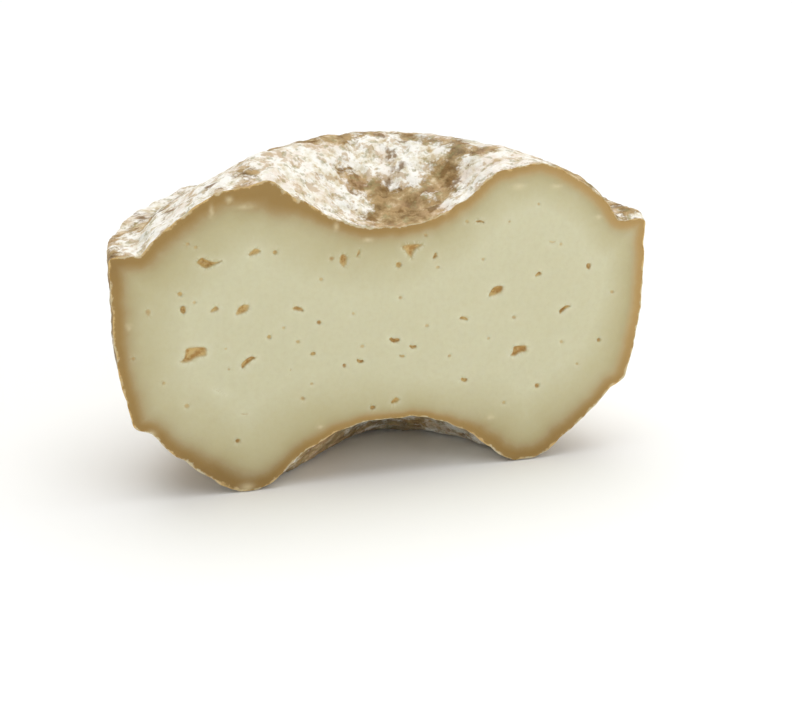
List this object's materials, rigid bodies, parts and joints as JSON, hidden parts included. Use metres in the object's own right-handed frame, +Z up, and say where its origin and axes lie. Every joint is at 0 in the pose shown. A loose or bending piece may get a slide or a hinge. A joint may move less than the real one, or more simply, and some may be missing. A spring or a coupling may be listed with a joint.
{
  "type": "half cheese wheel",
  "caption": "Half of a small pressed cheese wheel cut upright through the middle: flat cut face with small eyes, hollowed top and underside, rough natural rind, stands on its base ring.",
  "frame": {"origin": "middle of the footprint of the half wheel, on the surface it stands on", "axes": "+Z up along the wheel's axis, +X along the cut from left to right as seen from the front, -Y out of the cut face"},
  "size_m": [0.1504, 0.0748, 0.09],
  "materials": {
    "cheese": "satin"
  },
  "bodies": {
    "root": {"cheese_half_wheel": "cheese"}
  },
  "joints": []
}
